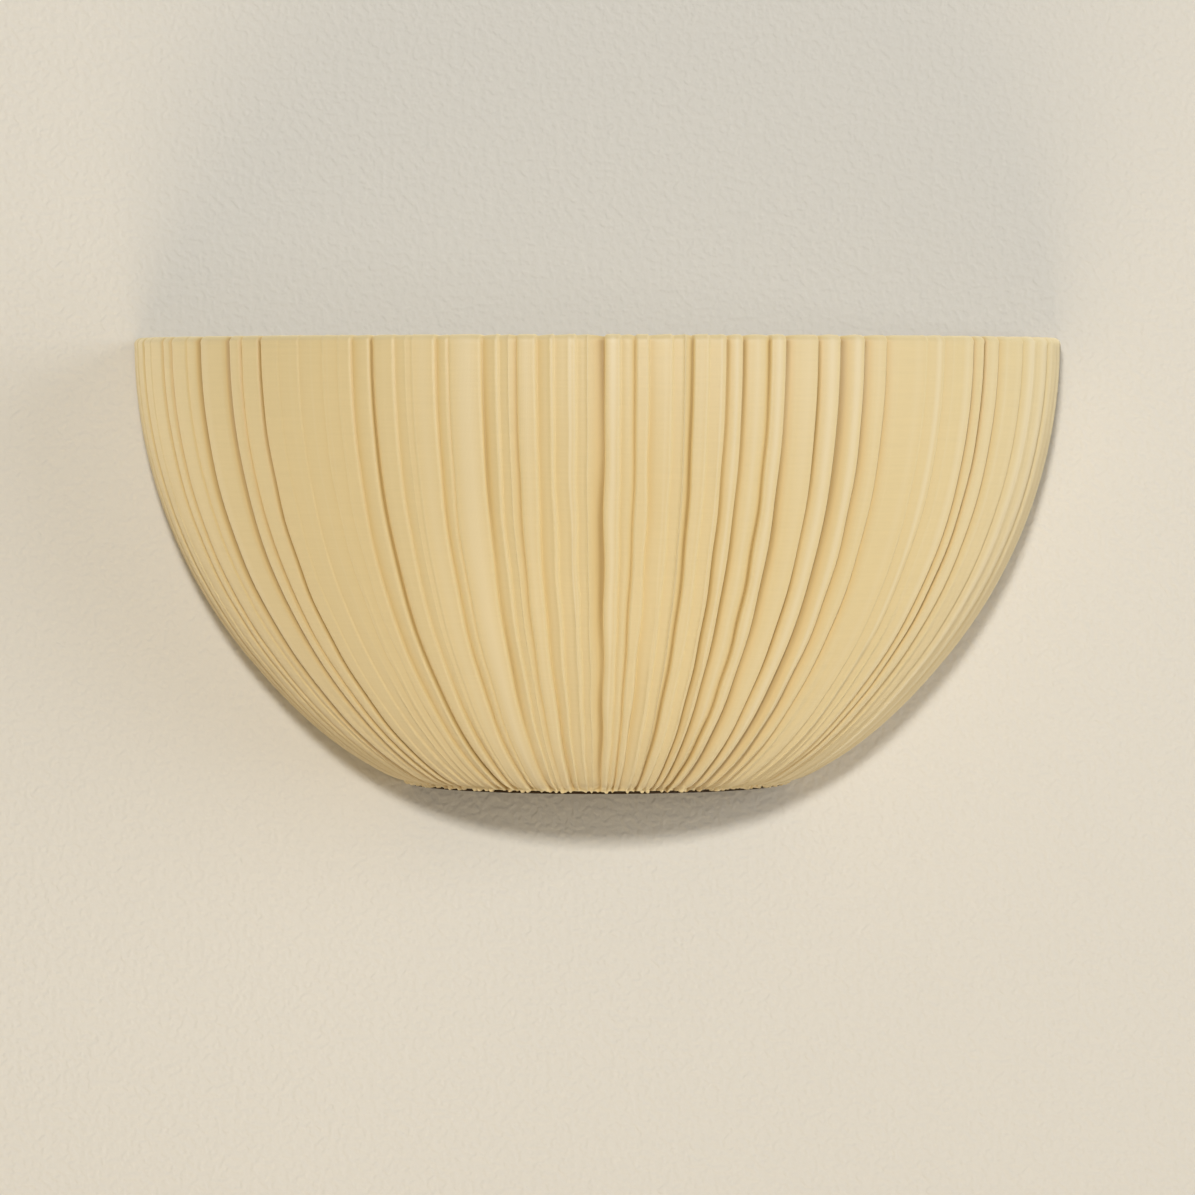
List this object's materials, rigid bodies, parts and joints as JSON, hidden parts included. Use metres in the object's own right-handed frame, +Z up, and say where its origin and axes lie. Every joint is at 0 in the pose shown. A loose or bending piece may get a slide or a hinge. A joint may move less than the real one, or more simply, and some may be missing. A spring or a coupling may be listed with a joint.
{
  "type": "fabric shade wall light",
  "caption": "Half-dome uplighter for a wall: a pleated cream fabric shade on a rigid liner and metal frame, hung on a wall plate that carries the wiring, arm and pin-base lamp.",
  "frame": {"origin": "middle of the wall plate's back face, on the wall, midway between its two fixing slots", "axes": "+X along the wall to the right as seen from the room, +Y into the wall, +Z up; the shade stands out along -Y"},
  "size_m": [0.34, 0.17, 0.1636],
  "materials": {
    "plate_paint": "satin white powder coat",
    "grommet_rubber": "matt black rubber",
    "terminal_plastic": "natural nylon",
    "terminal_brass": "turned brass",
    "zinc_screws": "bright zinc plate",
    "tinned_copper": "tinned copper",
    "earth_insulation": "green and yellow striped insulation",
    "live_insulation": "brown insulation",
    "neutral_insulation": "blue insulation",
    "holder_ceramic": "unglazed white ceramic",
    "contact_nickel": "nickel",
    "lamp_glass": "opal white",
    "lamp_board": "white board with pale yellow chips",
    "liner_opal": "opal moulded sheet, satin",
    "shade_fabric": "fine plain-woven cream fabric, hand pleated",
    "cotton_tape": "woven cotton tape",
    "frame_bronze": "dark bronze"
  },
  "bodies": {
    "bracket": {"wall_plate": "plate_paint", "cable_grommet": "grommet_rubber", "terminal_block": "terminal_plastic", "terminal_inserts": "terminal_brass", "terminal_screws": "zinc_screws", "block_screws": "zinc_screws", "wiring_cover": "plate_paint", "cover_pillars": "zinc_screws", "cover_screws": "zinc_screws", "lead_bush": "grommet_rubber", "earth_eyelet": "tinned_copper", "earth_screw": "terminal_brass", "earth_lead": "earth_insulation", "live_lead": "live_insulation", "neutral_lead": "neutral_insulation", "lamp_arm": "plate_paint", "arm_screws": "zinc_screws", "lead_clip": "zinc_screws", "lampholder": "holder_ceramic", "holder_contacts": "contact_nickel", "holder_screws": "zinc_screws", "holder_nuts": "zinc_screws"},
    "lamp": {"lamp_base": "holder_ceramic", "lamp_pins": "contact_nickel", "lamp_envelope": "lamp_glass", "led_board": "lamp_board"},
    "shade": {"shade_liner": "liner_opal", "pleated_cover": "shade_fabric", "rim_tape": "cotton_tape", "rim_wire": "frame_bronze", "side_strip_left": "frame_bronze", "side_strip_right": "frame_bronze", "crossbar": "frame_bronze", "frame_rivets": "frame_bronze", "lower_ring": "frame_bronze", "ring_screws": "frame_bronze", "ring_nuts": "zinc_screws", "wall_bumpers": "grommet_rubber"}
  },
  "joints": [
    {"name": "shade_lift", "type": "slide", "parent": "bracket", "child": "shade", "axis": [0, 0, 1], "range_m": [0, 0.01]},
    {"name": "lamp_pull", "type": "slide", "parent": "bracket", "child": "lamp", "axis": [0, 0, 1], "range_m": [0, 0.018]}
  ]
}
